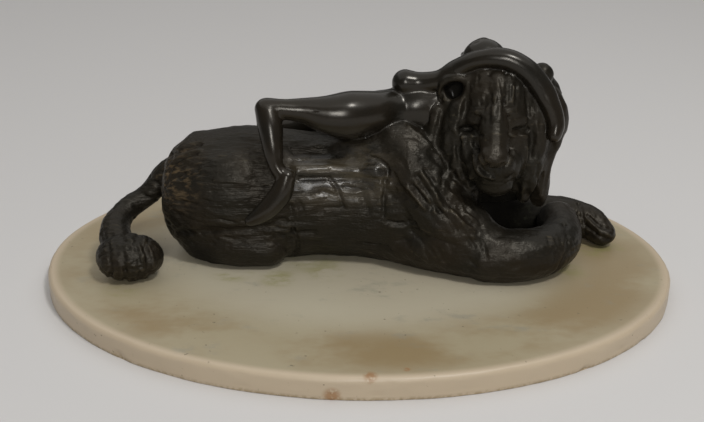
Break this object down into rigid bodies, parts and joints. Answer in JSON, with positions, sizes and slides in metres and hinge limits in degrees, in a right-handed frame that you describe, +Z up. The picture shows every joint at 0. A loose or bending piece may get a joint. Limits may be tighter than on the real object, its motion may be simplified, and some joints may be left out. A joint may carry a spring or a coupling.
{
  "type": "woman and lion sculpture",
  "caption": "Cast bronze of a woman lying along the back of a resting lion, one arm round its head, on an oval marble slab.",
  "frame": {"origin": "middle of the marble base's underside", "axes": "+Z up, +X towards the lion's head along the long side of the oval, -Y towards the side that the lion's face looks to"},
  "size_m": [0.56, 0.42, 0.2167],
  "materials": {
    "bronze": "dark brown-black patina, waxed, rubbed lighter on the high places",
    "marble": "honed and lightly polished, cream white with ochre stains and grey veins"
  },
  "bodies": {
    "root": {"bronze_woman_and_lion": "bronze", "marble_base": "marble"}
  },
  "joints": []
}
